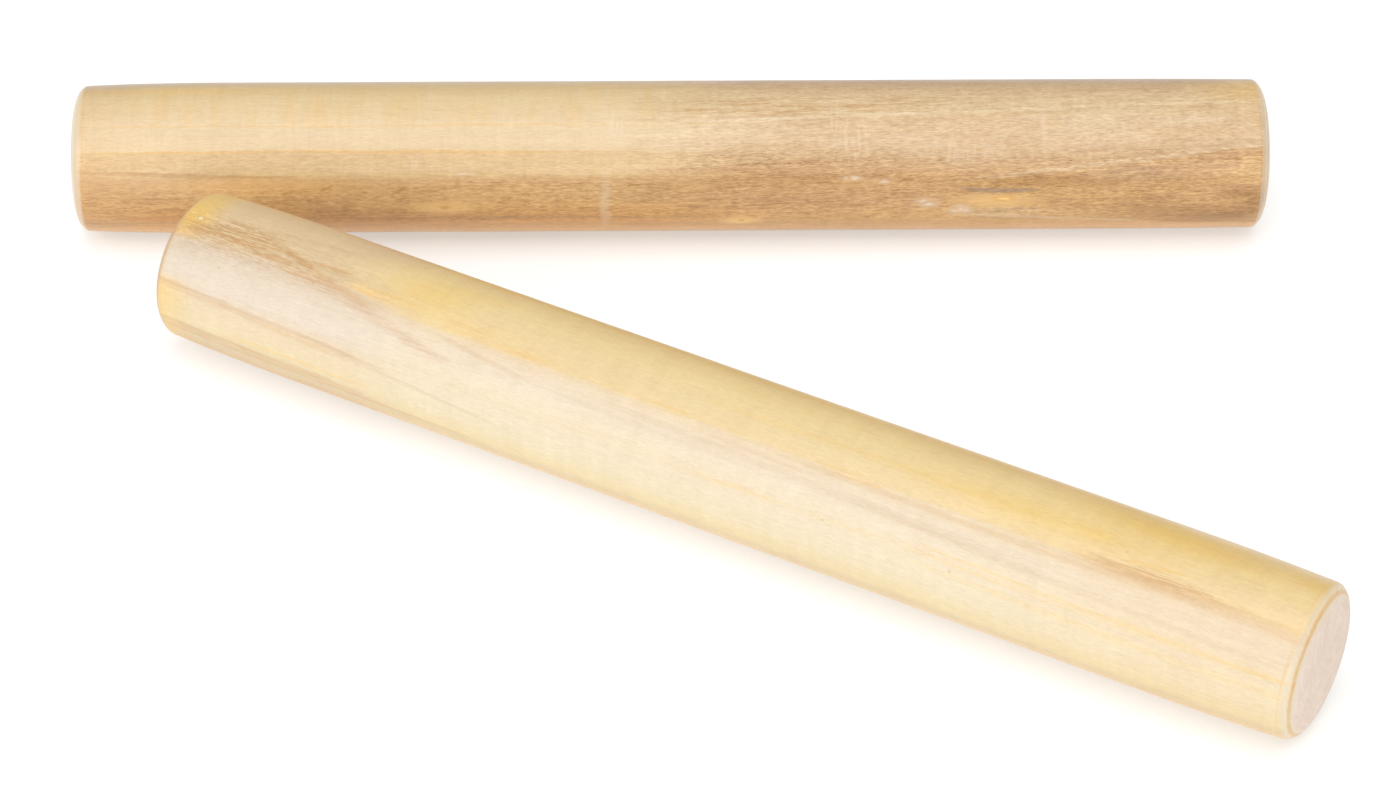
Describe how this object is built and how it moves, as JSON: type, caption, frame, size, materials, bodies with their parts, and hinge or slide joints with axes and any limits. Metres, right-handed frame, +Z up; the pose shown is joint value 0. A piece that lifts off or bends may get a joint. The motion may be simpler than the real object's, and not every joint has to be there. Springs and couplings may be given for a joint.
{
  "type": "claves",
  "caption": "Pair of loose solid turned hardwood sticks struck together, with rounded ends and a satin clear coat.",
  "frame": {"origin": "on the surface that the claves lie on, under the middle of the pair's bounding box", "axes": "+X along the resonator clave, +Y from the striker clave towards the resonator clave, +Z up"},
  "size_m": [0.2, 0.153, 0.0253],
  "materials": {
    "resonator_wood": "satin clear lacquer over sanded hardwood, cream sapwood beside tan heartwood, straight grain",
    "striker_wood": "satin clear lacquer over sanded hardwood, pale cream yellow sapwood with a few brown streaks"
  },
  "bodies": {
    "resonator": {"resonator_clave": "resonator_wood"},
    "striker": {"striker_clave": "striker_wood"}
  },
  "joints": [
    {"name": "striker_lift", "type": "slide", "parent": "resonator", "child": "striker", "axis": [0, 0, 1], "range_m": [0, 0.15]}
  ]
}
